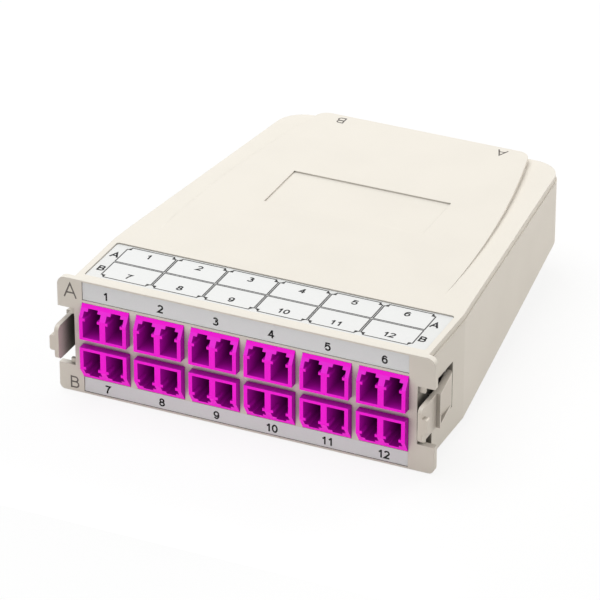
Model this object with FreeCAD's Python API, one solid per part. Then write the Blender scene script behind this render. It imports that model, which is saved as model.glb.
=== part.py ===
"""Fibre cassette: 12 duplex LC ports on the front, two multi-fibre ports on the rear.

X runs along the front from port 1 to port 6, Y into the depth, Z up. The origin lies on the front
face of the bezel, at the middle of its lower edge. Units are millimetres.
"""
import FreeCAD
import Part
import math
import os

V = FreeCAD.Vector

# Duplex LC sockets: their outline sets the size of an adapter
PORT_PITCH = 6.25
PORT_WIDTH = 4.65
PORT_SIDE = 1.0
PORT_FLOOR = 0.75
CHAMBER_HEIGHT = 4.55
RAIL_HEIGHT = 0.75
RAIL_OUT = 0.65
RAIL_LENGTH = 3.3
KEYWAY_HEIGHT = 1.55
SLOT_WIDTH = 2.65
SLOT_HEIGHT = 0.75
PORT_ROOF = 0.9
DIVIDER = 1.6

# Duplex LC adapters in two rows: they set the size of the bezel
COLUMNS = 6
ADAPTER_WIDTH = PORT_PITCH + PORT_WIDTH + 2 * PORT_SIDE
ADAPTER_HEIGHT = PORT_FLOOR + CHAMBER_HEIGHT + RAIL_HEIGHT + KEYWAY_HEIGHT + SLOT_HEIGHT + PORT_ROOF
ADAPTER_LENGTH = 26.4
ADAPTER_FRONT = 2.0
SLOPE_START = 6.1
OPENING_GAP = 0.08
COLLAR_OUT = 0.7
COLLAR_LENGTH = 1.8
COLUMN_GAP = 0.6
ROW_GAP = 0.88
ADAPTER_PITCH = ADAPTER_WIDTH + 2 * COLLAR_OUT + COLUMN_GAP
ROW_HALF = ((COLUMNS - 1) * ADAPTER_PITCH + ADAPTER_WIDTH) / 2

# Marking strips in the bezel, below and above the adapters
STRIP_POCKET = 0.65
STRIP_THICKNESS = 0.4
FIT_GAP = 0.08
LOWER_LIP = 0.45
LOWER_STRIP_HEIGHT = 4.15
LOWER_RIB = 0.2
UPPER_RIB = 0.72
UPPER_STRIP_HEIGHT = 5.0
UPPER_LIP = 0.4
LOWER_STRIP_TOP = LOWER_LIP + LOWER_STRIP_HEIGHT
LOWER_ROW_BOTTOM = LOWER_STRIP_TOP + LOWER_RIB
UPPER_ROW_BOTTOM = LOWER_ROW_BOTTOM + ADAPTER_HEIGHT + 2 * COLLAR_OUT + ROW_GAP
UPPER_STRIP_BOTTOM = UPPER_ROW_BOTTOM + ADAPTER_HEIGHT + UPPER_RIB
UPPER_STRIP_TOP = UPPER_STRIP_BOTTOM + UPPER_STRIP_HEIGHT

# Bezel: the front plate of the housing, with a lobe and a latch notch on each side
BEZEL_SIDE = 3.9
LOBE_WIDTH = 2.9
BODY_HALF_FRONT = ROW_HALF + BEZEL_SIDE
BEZEL_WIDTH = 2 * (BODY_HALF_FRONT + LOBE_WIDTH)
BEZEL_HEIGHT = UPPER_STRIP_TOP + UPPER_LIP
BEZEL_THICKNESS = 1.75
BEZEL_UPPER_CORNER = 2.2
BEZEL_LOWER_CORNER = 1.4
NOTCH_BOTTOM = 7.4
UPPER_LOBE_HEIGHT = 8.3
NOTCH_TOP = BEZEL_HEIGHT - UPPER_LOBE_HEIGHT

# Housing: straight behind the bezel, then narrowing in plan and rising underneath
SIDE_TAPER = 8.65
BODY_HALF_REAR = BODY_HALF_FRONT - SIDE_TAPER
BODY_REAR = 112.35
BODY_BOTTOM = 1.65
BODY_REAR_RISE = 8.4
TAPER_START = 25.2
REAR_CORNER = 8.2
WALL = 2.0
FLOOR = 1.6
PANEL = 2.2

# Cover: a flat middle between two arcs, and side areas that fall a little towards the rear
COVER_DROP = 1.1
COVER_TOP = BEZEL_HEIGHT - COVER_DROP
COVER_THICKNESS = 1.67
COVER_INSET = 0.33
COVER_GAP = 0.08
SIDE_FALL = 1.73
SIDE_FALL_START = 32.4
SIDE_AREA = 8.4
ARC_HALF_WIDTH = BODY_HALF_FRONT - SIDE_AREA
ARC_RADIUS = 330.0
MIDDLE_CORNER = 3.5
RIM_WIDTH = 1.2
RIM_DEPTH = 2.2
RIM_GAP = 0.12
RIM_ROOT = 0.3

# Label pocket and plate recess in the cover
LABEL_BORDER = 1.94
LABEL_HALF_WIDTH = BODY_HALF_FRONT - LABEL_BORDER
LABEL_FRONT = 5.05
LABEL_REAR = 23.45
LABEL_POCKET = 0.65
LABEL_THICKNESS = 0.3
LABEL_CORNER = 0.8
PLATE_HALF_WIDTH = 21.9
PLATE_FRONT = 59.0
PLATE_REAR = 77.5
PLATE_DEPTH = 0.4

# Ceramic sleeves that line up the ferrules
SLEEVE_RADIUS = 0.8
SLEEVE_BORE = 0.64
SLEEVE_LENGTH = 6.8
SLEEVE_GAP = 0.03
HOLDER_RADIUS = 1.45
HOLDER_LENGTH = 7.6
FERRULE_RADIUS = 0.62
FERRULE_GAP = 0.05

# LC plugs on the inner side of the adapters
PLUG_GAP = 0.1
PLUG_CORNER = 0.5
PLUG_FRONT_GAP = 0.5
PLUG_REAR = 29.0
BOOT_RADIUS = 1.5
BOOT_END_RADIUS = 1.05
BOOT_LENGTH = 6.0

# Retainer that locks the adapters behind the bezel
RETAINER_THICKNESS = 1.5
RETAINER_HEADROOM = 0.53
RETAINER_TOP = COVER_TOP - COVER_THICKNESS - RETAINER_HEADROOM
RIM_CLEARANCE = 1.0

# Side latches: a lever on a pin, with a shoulder, a hollow ramp and a finger grip
LEVER_GAP = 0.44
LEVER_THICKNESS = 1.16
LEVER_INNER = BODY_HALF_FRONT + LEVER_GAP
LEVER_OUTER = LEVER_INNER + LEVER_THICKNESS
LEVER_MARGIN = 3.3
LEVER_BOTTOM = NOTCH_BOTTOM + LEVER_MARGIN
LEVER_TOP = NOTCH_TOP - LEVER_MARGIN
LEVER_FRONT = 4.7
LEVER_CORNER = 1.4
SHOULDER_OUT = 1.06
SHOULDER_X = LEVER_OUTER + SHOULDER_OUT
SHOULDER_Y = 4.0
RAMP_END_DROP = 0.7
RAMP_END_X = LEVER_OUTER - RAMP_END_DROP
RAMP_END_ROUND = 1.3
RAMP_POCKET_BORDER = 0.8
RAMP_POCKET_DEPTH = 1.51
INNER_BEND_Y = 7.0
PIVOT_INSET = 1.0
PIVOT_X = BODY_HALF_FRONT - PIVOT_INSET
PIVOT_Y = 14.5
PIN_RADIUS = 0.6
PIN_GAP = 0.08
PIN_SEAT = 1.6
BARREL_RADIUS = 1.45
BARREL_GAP = 0.3
ROOT_OUT = 0.6
ROOT_FORWARD = 0.7
ROOT_X = PIVOT_X + ROOT_OUT
ROOT_Y = PIVOT_Y - ROOT_FORWARD
GRIP_OUT = 1.35
GRIP_LENGTH = 1.7
GRIP_ROUND = 0.6
GRIP_ROOT = 0.3
GRIP_HEIGHT = 4.2

# Room for the latches in the housing's sides, and the leaf springs behind them
NOTCH_DEPTH = 5.2
NOTCH_FLARE = 2.6
CHANNEL_DEPTH = 1.65
CHANNEL_INNER = BODY_HALF_FRONT - CHANNEL_DEPTH
NOTCH_STEP = 0.05
NOTCH_HALF_WIDTH = CHANNEL_INNER + NOTCH_STEP
BARREL_ROOM_INNER = PIVOT_X - BARREL_RADIUS - BARREL_GAP
SLOT_BELOW = 2.0
SLOT_ABOVE = 1.25
SLOT_BOTTOM = LEVER_BOTTOM - SLOT_BELOW
SLOT_TOP = LEVER_TOP + SLOT_ABOVE
SLOT_REAR = 17.9
CHANNEL_WALL = 0.95
SPRING_THICKNESS = 0.25
SPRING_HEIGHT = 5.0
SPRING_BOW = 0.9
SPRING_FRONT = 6.0
SPRING_REAR = 12.2

# Multi-fibre (MPO) adapters in the rear wall, and the plugs on their inner side
MPO_X = 22.8
MPO_WIDTH = 12.8
MPO_HEIGHT = 9.4
MPO_CORNER = 0.6
MPO_OUT = 2.6
MPO_IN = 15.4
MPO_PORT_WIDTH = 9.9
MPO_PORT_HEIGHT = 6.6
MPO_PORT_CORNER = 1.2
MPO_PORT_DEPTH = 8.6
MPO_KEY_WIDTH = 3.2
MPO_KEY_HEIGHT = 0.9
MPO_COLLAR_OUT = 0.8
MPO_COLLAR = 1.4
MPO_HEADROOM = 1.7
MPO_Z = COVER_TOP - SIDE_FALL - COVER_THICKNESS - MPO_HEADROOM - MPO_COLLAR_OUT - MPO_HEIGHT / 2
MPO_GAP = 0.15
MPO_FERRULE_WIDTH = 6.4
MPO_FERRULE_HEIGHT = 2.5
MPO_FERRULE_OUT = 2.4
MPO_TAIL_WIDTH = 4.4
MPO_TAIL_HEIGHT = 3.2
MPO_PLUG_TAIL = 6.0
MPO_RIM_CLEARANCE = 0.6

# Fibre routing on the floor
SPOOL_X = 17.0
SPOOL_Y = 62.0
SPOOL_RADIUS = 12.0
SPOOL_WALL = 1.2
SPOOL_TOP = 15.0
LOOP_WIDTH = 2.6
LOOP_HEIGHT = 5.0
LOOP_GAP = 0.15
LOOP_LIFT = 0.05
UPPER_ENTRY = 3.5
LOWER_ENTRY = 1.5
TRUNK_ENTRY = 3.0
FIBRE_RADIUS = 0.45
TRUNK_RADIUS = 1.35
TAIL_GAP = 0.05

# Screws from below, and the bosses and posts that they join
SCREW_FRONT_INSET = 8.1
SCREW_FRONT_X = BODY_HALF_FRONT - SCREW_FRONT_INSET
SCREW_FRONT_Y = 43.0
SCREW_REAR_INSET = 5.35
SCREW_REAR_X = BODY_HALF_REAR - SCREW_REAR_INSET
SCREW_REAR_Y = 90.0
SCREW_HEAD_RADIUS = 2.3
SCREW_HEAD_HEIGHT = 1.5
SCREW_RADIUS = 1.2
SCREW_LENGTH = 9.0
SCREW_GAP = 0.1
PILOT_GAP = 0.02
TIP_GAP = 0.5
THREAD_GAP = 0.05
CROSS_REACH = 1.3
CROSS_WIDTH = 0.6
CROSS_DEPTH = 0.8
HEAD_RECESS = 1.9
BOSS_RADIUS = 3.4
BOSS_HEIGHT = 4.0
POST_RADIUS = 2.4
POST_ROOT = 1.0

ADAPTER_REAR = ADAPTER_LENGTH - ADAPTER_FRONT
ADAPTER_MIDDLE = ADAPTER_REAR - ADAPTER_LENGTH / 2
COLLAR_REAR = PANEL + COLLAR_LENGTH
PORT_AXIS_Z = PORT_FLOOR + CHAMBER_HEIGHT / 2
PORT_OFFSETS = (-PORT_PITCH / 2, PORT_PITCH / 2)
MPO_INNER_END = BODY_REAR - MPO_IN


def box(x0, x1, y0, y1, z0, z1):
    return Part.makeBox(x1 - x0, y1 - y0, z1 - z0, V(x0, y0, z0))


def prism(points, direction):
    """Extrudes a closed polygon of points along a vector."""
    wire = Part.makePolygon(points + points[:1])
    return Part.Face(wire).extrude(direction)


def prism_x(profile, x0, x1):
    """Extrudes a (y, z) profile from x0 to x1."""
    return prism([V(x0, y, z) for y, z in profile], V(x1 - x0, 0, 0))


def prism_y(profile, y0, y1):
    """Extrudes an (x, z) profile from y0 to y1."""
    return prism([V(x, y0, z) for x, z in profile], V(0, y1 - y0, 0))


def prism_z(profile, z0, z1):
    """Extrudes an (x, y) profile from z0 to z1."""
    return prism([V(x, y, z0) for x, y in profile], V(0, 0, z1 - z0))


def round_edges(shape, radius, along, keep):
    """Fillets the edges that run along an axis and whose middle passes the test."""
    edges = []
    for edge in shape.Edges:
        start, end = edge.Vertexes[0].Point, edge.Vertexes[-1].Point
        direction = end - start
        if direction.Length < 1e-6:
            continue
        if abs(direction.normalize().dot(along)) > 0.999 and keep((start + end) * 0.5):
            edges.append(edge)
    return shape.makeFillet(radius, edges)


def mirrored(shape):
    return shape.mirror(V(0, 0, 0), V(1, 0, 0))


def both_sides(shape):
    return [shape, mirrored(shape)]


def half_width(y, inset):
    """Half width of the housing in plan at a depth, with its walls moved in by an inset."""
    share = max(0.0, (y - TAPER_START) / (BODY_REAR - TAPER_START))
    return BODY_HALF_FRONT - share * (BODY_HALF_FRONT - BODY_HALF_REAR) - inset


def floor_height(y):
    share = max(0.0, (y - TAPER_START) / (BODY_REAR - TAPER_START))
    return BODY_BOTTOM + share * BODY_REAR_RISE


def side_top(y):
    """Height of the cover's side areas at a depth."""
    share = max(0.0, (y - SIDE_FALL_START) / (BODY_REAR - SIDE_FALL_START))
    return COVER_TOP - share * SIDE_FALL


def plan_prism(inset, front, z0, z1):
    """The housing's outline in plan, moved in by an inset, with rounded rear corners."""
    rear = BODY_REAR - inset
    points = []
    for side, order in ((1, (front, TAPER_START, rear)), (-1, (rear, TAPER_START, front))):
        points += [(side * half_width(y, inset), y) for y in order]
    solid = prism_z(points, z0, z1)
    corner = max(REAR_CORNER - inset, 1.0)
    return round_edges(solid, corner, V(0, 0, 1), lambda p: p.y > rear - 0.01)


def below_ledge(lowering, y0, y1, z0):
    """Everything under the plane that the cover rests on, as one block."""
    top = [(y, side_top(y) - lowering) for y in (y0, SIDE_FALL_START, y1)]
    return prism_x([(y0, z0), (y1, z0)] + top[::-1], -BEZEL_WIDTH, BEZEL_WIDTH)


def above_floor(raising, y0, y1, z1):
    """Everything over the rising floor plane, as one block."""
    bottom = [(y, floor_height(y) + raising) for y in (y0, TAPER_START, y1)]
    return prism_x(bottom + [(y1, z1), (y0, z1)], -BEZEL_WIDTH, BEZEL_WIDTH)


def adapter_places():
    """Middle in X, height of the lower edge and turn of each adapter, in port order."""
    places = []
    for bottom, turned in ((UPPER_ROW_BOTTOM, False), (LOWER_ROW_BOTTOM, True)):
        for column in range(COLUMNS):
            x = (column - (COLUMNS - 1) / 2) * ADAPTER_PITCH
            places.append((x, bottom, turned))
    return places


def adapter_openings(gap, y0, y1):
    """The windows that the adapters pass through, with a gap all round."""
    half = ADAPTER_WIDTH / 2 + gap
    windows = []
    for x, bottom, _ in adapter_places():
        windows.append(box(x - half, x + half, y0, y1, bottom - gap, bottom + ADAPTER_HEIGHT + gap))
    return windows


def bezel():
    """The front plate, with its side notches for the latch fingers."""
    plate = box(-BEZEL_WIDTH / 2, BEZEL_WIDTH / 2, 0, BEZEL_THICKNESS, 0, BEZEL_HEIGHT)
    middle = BEZEL_HEIGHT / 2
    plate = round_edges(plate, BEZEL_UPPER_CORNER, V(0, 1, 0), lambda p: p.z > middle)
    plate = round_edges(plate, BEZEL_LOWER_CORNER, V(0, 1, 0), lambda p: p.z < middle)
    notch = box(NOTCH_HALF_WIDTH, BEZEL_WIDTH, -1, BEZEL_THICKNESS + 1, NOTCH_BOTTOM, NOTCH_TOP)
    return plate.cut(both_sides(notch))


def strip_pockets():
    pockets = []
    for z0, z1 in ((UPPER_STRIP_BOTTOM, UPPER_STRIP_TOP), (LOWER_LIP, LOWER_STRIP_TOP)):
        pockets.append(box(-ROW_HALF, ROW_HALF, -1, STRIP_POCKET, z0, z1))
    return pockets


def housing_shell():
    """Floor, side walls and rear wall, open at the top."""
    outer = plan_prism(0, BEZEL_THICKNESS / 2, 0, BEZEL_HEIGHT)
    outer = outer.common(below_ledge(COVER_THICKNESS, 0, BODY_REAR + 1, -1))
    outer = outer.common(above_floor(0, 0, BODY_REAR + 1, BEZEL_HEIGHT))
    inner = plan_prism(WALL, PANEL, 0, BEZEL_HEIGHT + 1)
    inner = inner.common(above_floor(FLOOR, 0, BODY_REAR + 1, BEZEL_HEIGHT + 1))
    return outer.cut(inner)


def barrel_room_front():
    return PIVOT_Y - BARREL_RADIUS - BARREL_GAP


def latch_channel_walls():
    """The walls that close each latch channel towards the inside, deeper round the barrel."""
    inside = CHANNEL_INNER - CHANNEL_WALL
    outside = BODY_HALF_FRONT - WALL / 2
    rear = SLOT_REAR + CHANNEL_WALL
    bottom = SLOT_BOTTOM - PIN_SEAT - CHANNEL_WALL
    top = SLOT_TOP + PIN_SEAT + CHANNEL_WALL
    flare = NOTCH_FLARE + CHANNEL_WALL
    notch_wall = box(inside, NOTCH_HALF_WIDTH, BEZEL_THICKNESS / 2, NOTCH_DEPTH + CHANNEL_WALL,
                     NOTCH_BOTTOM - flare, NOTCH_TOP + flare)
    slot_wall = box(inside, outside, BEZEL_THICKNESS, rear, bottom, top)
    room_wall = box(BARREL_ROOM_INNER - CHANNEL_WALL, outside, barrel_room_front() - CHANNEL_WALL,
                    rear, bottom, top)
    walls = []
    for wall in (notch_wall, slot_wall, room_wall):
        walls += both_sides(wall)
    return walls


def latch_channels():
    """The notch behind the bezel, the slot in the side wall and the room for the barrel."""
    out = BEZEL_WIDTH
    notch = box(CHANNEL_INNER, out, BEZEL_THICKNESS, NOTCH_DEPTH,
                NOTCH_BOTTOM - NOTCH_FLARE, NOTCH_TOP + NOTCH_FLARE)
    slot = box(CHANNEL_INNER, out, 0, SLOT_REAR, SLOT_BOTTOM, SLOT_TOP)
    room = box(BARREL_ROOM_INNER, out, barrel_room_front(), SLOT_REAR, SLOT_BOTTOM, SLOT_TOP)
    return both_sides(notch) + both_sides(slot) + both_sides(room)


def hinge_pin():
    length = SLOT_TOP - SLOT_BOTTOM + 2 * PIN_SEAT
    return Part.makeCylinder(PIN_RADIUS, length, V(PIVOT_X, PIVOT_Y, SLOT_BOTTOM - PIN_SEAT))


def screw_places():
    front = [(side * SCREW_FRONT_X, SCREW_FRONT_Y) for side in (-1, 1)]
    rear = [(side * SCREW_REAR_X, SCREW_REAR_Y) for side in (-1, 1)]
    return front + rear


def head_seat(y):
    """Height at which a screw's head bears, inside its counterbore."""
    return floor_height(y) + HEAD_RECESS


def boss_top(y):
    return head_seat(y) + BOSS_HEIGHT


def screw_bosses():
    bosses = []
    for x, y in screw_places():
        start = floor_height(y) + FLOOR / 2
        height = boss_top(y) - start
        bosses.append(Part.makeCylinder(BOSS_RADIUS, height, V(x, y, start)))
    return bosses


def screw_holes():
    holes = []
    for x, y in screw_places():
        seat = head_seat(y)
        holes.append(Part.makeCylinder(SCREW_HEAD_RADIUS + 2 * SCREW_GAP, seat + 1, V(x, y, -1)))
        holes.append(Part.makeCylinder(SCREW_RADIUS + SCREW_GAP, BEZEL_HEIGHT, V(x, y, seat)))
    return holes


def spools():
    """Two rings that keep the fibre above its bend radius."""
    rings = []
    start = floor_height(SPOOL_Y - SPOOL_RADIUS)
    for x in (-SPOOL_X, SPOOL_X):
        ring = Part.makeCylinder(SPOOL_RADIUS, SPOOL_TOP - start, V(x, SPOOL_Y, start))
        bore = Part.makeCylinder(SPOOL_RADIUS - SPOOL_WALL, SPOOL_TOP, V(x, SPOOL_Y, start))
        ring = ring.cut(bore)
        rings.append(ring.common(above_floor(FLOOR / 2, 0, BODY_REAR, BEZEL_HEIGHT)))
    return rings


def mpo_windows():
    half_w, half_h = MPO_WIDTH / 2 + OPENING_GAP, MPO_HEIGHT / 2 + OPENING_GAP
    windows = []
    for x in (-MPO_X, MPO_X):
        windows.append(box(x - half_w, x + half_w, BODY_REAR - WALL - 1, BODY_REAR + 1,
                           MPO_Z - half_h, MPO_Z + half_h))
    return windows


def base_housing():
    shape = housing_shell().fuse([bezel()] + latch_channel_walls() + screw_bosses() + spools())
    shape = shape.cut(latch_channels() + both_sides(hinge_pin()))
    shape = shape.cut(strip_pockets() + adapter_openings(OPENING_GAP, -1, PANEL + 1))
    shape = shape.cut(screw_holes() + mpo_windows())
    return shape.removeSplitter()


def arc_region():
    """The flat middle of the cover: its sides are arcs that close in towards the rear."""
    front, rear = SIDE_FALL_START, BODY_REAR - COVER_INSET

    def on_arc(y):
        return ARC_HALF_WIDTH - ARC_RADIUS + math.sqrt(ARC_RADIUS ** 2 - (y - front) ** 2)

    middle = (front + rear) / 2
    right = Part.Arc(V(ARC_HALF_WIDTH, front, 0), V(on_arc(middle), middle, 0),
                     V(on_arc(rear), rear, 0)).toShape()
    before = Part.makeLine(V(-ARC_HALF_WIDTH, front, 0), V(ARC_HALF_WIDTH, front, 0))
    behind = Part.makeLine(V(-on_arc(rear), rear, 0), V(on_arc(rear), rear, 0))
    wire = Part.Wire(Part.__sortEdges__([before, right, behind, mirrored(right)]))
    region = Part.Face(wire).extrude(V(0, 0, COVER_TOP))
    return round_edges(region, MIDDLE_CORNER, V(0, 0, 1), lambda p: p.y > rear - 0.01)


def cover_rim():
    """The lip under the cover that sits inside the housing's walls."""
    outer_inset = WALL + RIM_GAP
    front = COLLAR_REAR + RETAINER_THICKNESS + RIM_CLEARANCE
    outer = plan_prism(outer_inset, front, 0, COVER_TOP)
    inner = plan_prism(outer_inset + RIM_WIDTH, front - 1, 0, COVER_TOP)
    ring = outer.cut(inner)
    band = below_ledge(COVER_THICKNESS - RIM_ROOT, 0, BODY_REAR, 0)
    low = below_ledge(COVER_THICKNESS + RIM_DEPTH, 0, BODY_REAR, -1)
    ring = ring.common(band).cut(low)
    half = MPO_WIDTH / 2 + MPO_COLLAR_OUT + MPO_RIM_CLEARANCE
    for x in (-MPO_X, MPO_X):
        ring = ring.cut(box(x - half, x + half, MPO_INNER_END, BODY_REAR, 0, BEZEL_HEIGHT))
    return ring


def cover_posts():
    posts = []
    for x, y in screw_places():
        start = boss_top(y) + FIT_GAP
        length = side_top(y) - POST_ROOT - start
        posts.append(Part.makeCylinder(POST_RADIUS, length, V(x, y, start)))
    return posts


def pilot_holes():
    length = SCREW_LENGTH + TIP_GAP
    return [Part.makeCylinder(SCREW_RADIUS - PILOT_GAP, length, V(x, y, head_seat(y)))
            for x, y in screw_places()]


def top_cover():
    front = BEZEL_THICKNESS + COVER_GAP
    plate = plan_prism(COVER_INSET, front, 0, COVER_TOP)
    sides = plate.common(below_ledge(0, 0, BODY_REAR + 1, -1))
    middle = plate.common(arc_region())
    shape = sides.fuse(middle).cut(below_ledge(COVER_THICKNESS, -1, BODY_REAR + 2, -2))
    shape = shape.fuse([cover_rim()] + cover_posts()).cut(pilot_holes())
    pocket = box(-LABEL_HALF_WIDTH, LABEL_HALF_WIDTH, LABEL_FRONT, LABEL_REAR,
                 COVER_TOP - LABEL_POCKET, COVER_TOP + 1)
    pocket = round_edges(pocket, LABEL_CORNER, V(0, 0, 1), lambda p: True)
    recess = box(-PLATE_HALF_WIDTH, PLATE_HALF_WIDTH, PLATE_FRONT, PLATE_REAR,
                 COVER_TOP - PLATE_DEPTH, COVER_TOP + 1)
    return shape.cut([pocket, recess]).removeSplitter()


def top_label():
    """The marking card that lies in the cover's pocket."""
    bottom = COVER_TOP - LABEL_POCKET
    card = box(-LABEL_HALF_WIDTH + FIT_GAP, LABEL_HALF_WIDTH - FIT_GAP,
               LABEL_FRONT + FIT_GAP, LABEL_REAR - FIT_GAP, bottom, bottom + LABEL_THICKNESS)
    return round_edges(card, LABEL_CORNER - FIT_GAP, V(0, 0, 1), lambda p: True)


def marking_strip(z0, z1):
    half = ROW_HALF - FIT_GAP
    return box(-half, half, STRIP_POCKET - STRIP_THICKNESS, STRIP_POCKET, z0 + FIT_GAP, z1 - FIT_GAP)


def port_profile(x):
    """Outline of one LC socket, seen from the front: chamber, latch rails, keyway and slot."""
    half, neck, slot = PORT_WIDTH / 2, PORT_WIDTH / 2 - RAIL_OUT, SLOT_WIDTH / 2
    levels = [PORT_FLOOR]
    for step in (CHAMBER_HEIGHT, RAIL_HEIGHT, KEYWAY_HEIGHT, SLOT_HEIGHT):
        levels.append(levels[-1] + step)
    floor, rail, keyway, shoulder, top = levels
    right = [(half, floor), (half, rail), (neck, rail), (neck, keyway),
             (half, keyway), (half, shoulder), (slot, shoulder), (slot, top)]
    left = [(-dx, z) for dx, z in right[::-1]]
    return [(x + dx, z) for dx, z in right + left]


def port_room(x, y0, y1):
    """The socket behind its latch rails, where the latch springs open."""
    half = PORT_WIDTH / 2
    top = PORT_FLOOR + CHAMBER_HEIGHT + RAIL_HEIGHT + KEYWAY_HEIGHT
    return box(x - half, x + half, y0, y1, PORT_FLOOR, top)


def sleeve_holder(x):
    start = V(x, ADAPTER_MIDDLE - HOLDER_LENGTH / 2, PORT_AXIS_Z)
    return Part.makeCylinder(HOLDER_RADIUS, HOLDER_LENGTH, start, V(0, 1, 0))


def lc_adapter():
    """One duplex adapter with its keys up, its lower edge at height 0 and its middle at X 0."""
    half = ADAPTER_WIDTH / 2
    side = [(-ADAPTER_FRONT, 0), (ADAPTER_REAR, 0), (ADAPTER_REAR, ADAPTER_HEIGHT),
            (0, ADAPTER_HEIGHT), (-ADAPTER_FRONT, SLOPE_START)]
    shape = prism_x(side, -half, half)
    shape = shape.fuse(box(-half - COLLAR_OUT, half + COLLAR_OUT, PANEL, COLLAR_REAR,
                           -COLLAR_OUT, ADAPTER_HEIGHT + COLLAR_OUT))
    wall_front = ADAPTER_MIDDLE - DIVIDER / 2
    wall_rear = ADAPTER_MIDDLE + DIVIDER / 2
    for x in PORT_OFFSETS:
        rooms = [prism_y(port_profile(x), -ADAPTER_FRONT - 1, wall_front),
                 port_room(x, RAIL_LENGTH - ADAPTER_FRONT, wall_front),
                 port_room(x, wall_rear, ADAPTER_REAR + 1)]
        shape = shape.cut(rooms)
    shape = shape.fuse([sleeve_holder(x) for x in PORT_OFFSETS])
    bores = [Part.makeCylinder(SLEEVE_RADIUS + SLEEVE_GAP, HOLDER_LENGTH + 2,
                               V(x, ADAPTER_MIDDLE - HOLDER_LENGTH / 2 - 1, PORT_AXIS_Z), V(0, 1, 0))
             for x in PORT_OFFSETS]
    return shape.cut(bores).removeSplitter()


def placed(shape, x, bottom, turned):
    """Moves an adapter-frame shape to its place, upside down in the lower row."""
    moved = shape.copy()
    if turned:
        moved.rotate(V(0, 0, ADAPTER_HEIGHT / 2), V(0, 1, 0), 180)
    moved.translate(V(x, 0, bottom))
    return moved


def sleeve(x):
    start = V(x, ADAPTER_MIDDLE - SLEEVE_LENGTH / 2, PORT_AXIS_Z)
    tube = Part.makeCylinder(SLEEVE_RADIUS, SLEEVE_LENGTH, start, V(0, 1, 0))
    return tube.cut(Part.makeCylinder(SLEEVE_BORE, SLEEVE_LENGTH, start, V(0, 1, 0)))


def lc_plug(x):
    """An LC plug in the inner side of an adapter: ferrule, body and boot."""
    front = ADAPTER_MIDDLE + HOLDER_LENGTH / 2 + PLUG_FRONT_GAP
    half_w, half_h = PORT_WIDTH / 2 - PLUG_GAP, CHAMBER_HEIGHT / 2 - PLUG_GAP
    body = box(x - half_w, x + half_w, front, PLUG_REAR, PORT_AXIS_Z - half_h, PORT_AXIS_Z + half_h)
    body = round_edges(body, PLUG_CORNER, V(0, 1, 0), lambda p: True)
    ferrule_start = ADAPTER_MIDDLE + FERRULE_GAP
    ferrule = Part.makeCylinder(FERRULE_RADIUS, front - ferrule_start + 1,
                                V(x, ferrule_start, PORT_AXIS_Z), V(0, 1, 0))
    boot = Part.makeCone(BOOT_RADIUS, BOOT_END_RADIUS, BOOT_LENGTH,
                         V(x, PLUG_REAR, PORT_AXIS_Z), V(0, 1, 0))
    return body.fuse([ferrule, boot])


def row_of(make, turned_row):
    """All copies of a port piece in one row of adapters, as separate solids."""
    solids = []
    for x, bottom, turned in adapter_places():
        if turned == turned_row:
            solids += [placed(make(dx), x, bottom, turned) for dx in PORT_OFFSETS]
    return Part.makeCompound(solids)


def adapter_retainer():
    """A frame behind the adapters' collars, one window per adapter, between the channel walls."""
    y0 = COLLAR_REAR
    y1 = y0 + RETAINER_THICKNESS
    half = CHANNEL_INNER - CHANNEL_WALL - FIT_GAP
    plate = box(-half, half, y0, y1, BODY_BOTTOM + FLOOR, RETAINER_TOP)
    return plate.cut(adapter_openings(OPENING_GAP, y0 - 1, y1 + 1)).removeSplitter()


def lever_arm():
    """Finger plate, locking shoulder and ramp, bent inwards to the barrel at its rear end."""
    front, rear = -LEVER_FRONT, PIVOT_Y + BARREL_RADIUS
    profile = [(LEVER_INNER, front), (LEVER_OUTER, front), (LEVER_OUTER, SHOULDER_Y),
               (SHOULDER_X, SHOULDER_Y), (RAMP_END_X, rear), (PIVOT_X, rear),
               (PIVOT_X, PIVOT_Y), (ROOT_X, ROOT_Y), (LEVER_INNER, INNER_BEND_Y)]
    arm = prism_z(profile, LEVER_BOTTOM, LEVER_TOP)
    arm = round_edges(arm, RAMP_END_ROUND, V(0, 0, 1),
                      lambda p: p.x > RAMP_END_X - 0.01 and p.y > rear - 0.01)
    return round_edges(arm, LEVER_CORNER, V(1, 0, 0), lambda p: p.y < front + 0.01)


def finger_grip():
    front = -LEVER_FRONT
    bottom = (LEVER_BOTTOM + LEVER_TOP - GRIP_HEIGHT) / 2
    grip = box(LEVER_OUTER - GRIP_ROOT, LEVER_OUTER + GRIP_OUT, front, front + GRIP_LENGTH,
               bottom, bottom + GRIP_HEIGHT)
    return round_edges(grip, GRIP_ROUND, V(0, 1, 0), lambda p: p.x > LEVER_OUTER)


def right_latch():
    """Lever with its barrel, finger plate, locking shoulder, hollow ramp and grip."""
    height = LEVER_TOP - LEVER_BOTTOM
    barrel = Part.makeCylinder(BARREL_RADIUS, height, V(PIVOT_X, PIVOT_Y, LEVER_BOTTOM))
    lever = lever_arm().fuse([barrel, finger_grip()])
    border = RAMP_POCKET_BORDER
    pocket = box(SHOULDER_X - RAMP_POCKET_DEPTH, SHOULDER_X + 1, SHOULDER_Y + border, PIVOT_Y,
                 LEVER_BOTTOM + border, LEVER_TOP - border)
    bore = Part.makeCylinder(PIN_RADIUS + PIN_GAP, height + 2,
                             V(PIVOT_X, PIVOT_Y, LEVER_BOTTOM - 1))
    return lever.cut([pocket, bore]).removeSplitter()


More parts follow.
